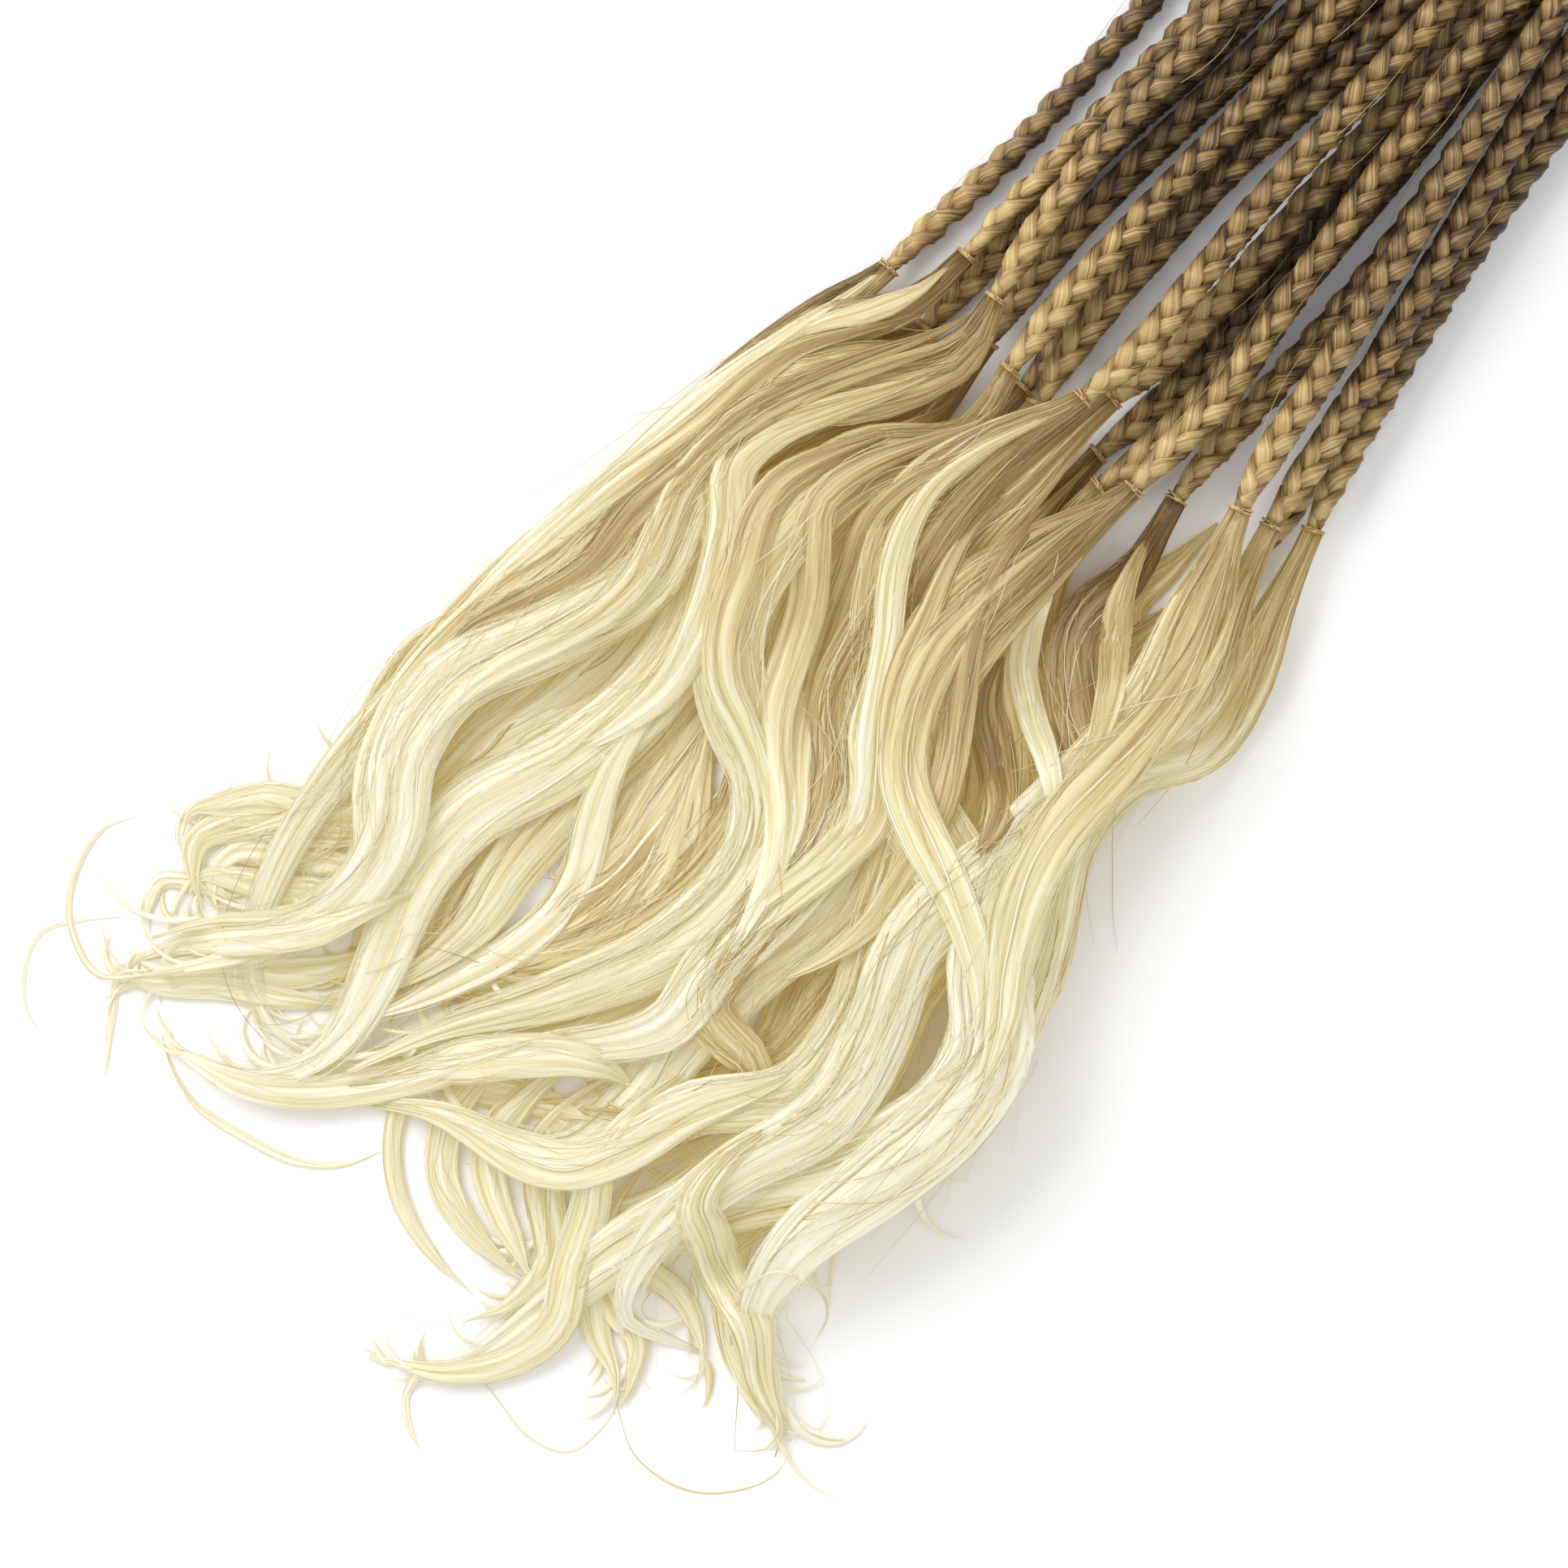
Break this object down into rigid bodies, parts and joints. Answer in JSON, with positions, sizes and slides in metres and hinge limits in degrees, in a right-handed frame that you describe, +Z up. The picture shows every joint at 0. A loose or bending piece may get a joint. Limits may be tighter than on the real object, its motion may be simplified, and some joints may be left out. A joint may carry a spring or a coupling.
{
  "type": "bundle of crochet box braids",
  "caption": "Lying bundle of three-strand crochet box braids, honey brown, each tied with thread above its loose wavy blonde end; closed crochet loops at the heads",
  "frame": {"origin": "middle of the bundle's box on the table that it lies on", "axes": "+X along the bundle from the loose ends to the looped heads, +Y across it, +Z up from the table"},
  "size_m": [0.4672, 0.1374, 0.022],
  "materials": {
    "braid_hair": "satin",
    "loose_hair": "satin",
    "tie_thread": "matte"
  },
  "bodies": {
    "root": {"braid_01": "braid_hair", "tie_01": "tie_thread", "tail_01": "loose_hair", "braid_02": "braid_hair", "tie_02": "tie_thread", "tail_02": "loose_hair", "braid_03": "braid_hair", "tie_03": "tie_thread", "tail_03": "loose_hair", "braid_04": "braid_hair", "tie_04": "tie_thread", "tail_04": "loose_hair", "braid_05": "braid_hair", "tie_05": "tie_thread", "tail_05": "loose_hair", "braid_06": "braid_hair", "tie_06": "tie_thread", "tail_06": "loose_hair", "braid_07": "braid_hair", "tie_07": "tie_thread", "tail_07": "loose_hair", "braid_08": "braid_hair", "tie_08": "tie_thread", "tail_08": "loose_hair", "braid_09": "braid_hair", "tie_09": "tie_thread", "tail_09": "loose_hair", "braid_10": "braid_hair", "tie_10": "tie_thread", "tail_10": "loose_hair", "braid_11": "braid_hair", "tie_11": "tie_thread", "tail_11": "loose_hair", "braid_12": "braid_hair", "tie_12": "tie_thread", "tail_12": "loose_hair", "braid_13": "braid_hair", "tie_13": "tie_thread", "tail_13": "loose_hair", "braid_14": "braid_hair", "tie_14": "tie_thread", "tail_14": "loose_hair", "braid_15": "braid_hair", "tie_15": "tie_thread", "tail_15": "loose_hair", "braid_16": "braid_hair", "tie_16": "tie_thread", "tail_16": "loose_hair", "braid_17": "braid_hair", "tie_17": "tie_thread", "tail_17": "loose_hair", "braid_18": "braid_hair", "tie_18": "tie_thread", "tail_18": "loose_hair"}
  },
  "joints": []
}
